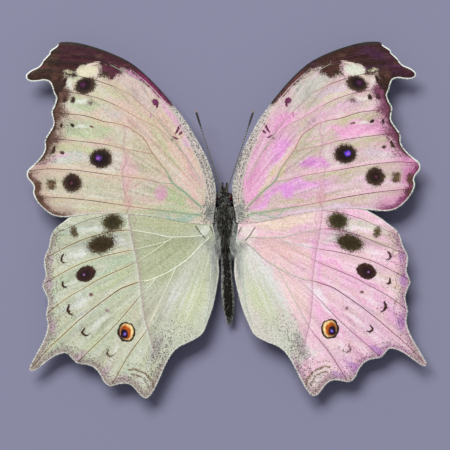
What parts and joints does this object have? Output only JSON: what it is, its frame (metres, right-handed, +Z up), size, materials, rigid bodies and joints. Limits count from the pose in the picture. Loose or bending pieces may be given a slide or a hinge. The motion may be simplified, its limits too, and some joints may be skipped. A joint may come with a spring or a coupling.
{
  "type": "spread butterfly specimen",
  "caption": "Dried butterfly set flat with level scalloped wings, hooked wing tips, tailed hindwings, a slim dark body, clubbed antennae and folded legs.",
  "frame": {"origin": "on the flat of the breast under the thorax, midway between the wing roots, in the plane that the specimen lies on", "axes": "+X to the specimen's right, +Y towards the head, +Z up, away from the surface it lies on"},
  "size_m": [0.0795, 0.0722, 0.0055],
  "materials": {
    "left_wing_scales": "pearly scales, greenish cream",
    "right_wing_scales": "pearly scales, pink lilac",
    "body_fur": "dark scales and grey hair",
    "eye": "dried compound eye, slightly glossy",
    "limb_chitin": "thin dark chitin"
  },
  "bodies": {
    "root": {"left_forewing": "left_wing_scales", "right_forewing": "right_wing_scales", "left_hindwing": "left_wing_scales", "right_hindwing": "right_wing_scales", "thorax": "body_fur", "abdomen": "body_fur", "head": "body_fur", "left_eye": "eye", "right_eye": "eye", "left_palp": "body_fur", "right_palp": "body_fur", "proboscis": "limb_chitin", "left_antenna": "limb_chitin", "right_antenna": "limb_chitin", "left_foreleg": "limb_chitin", "right_foreleg": "limb_chitin", "left_midleg": "limb_chitin", "right_midleg": "limb_chitin", "left_hindleg": "limb_chitin", "right_hindleg": "limb_chitin"}
  },
  "joints": []
}
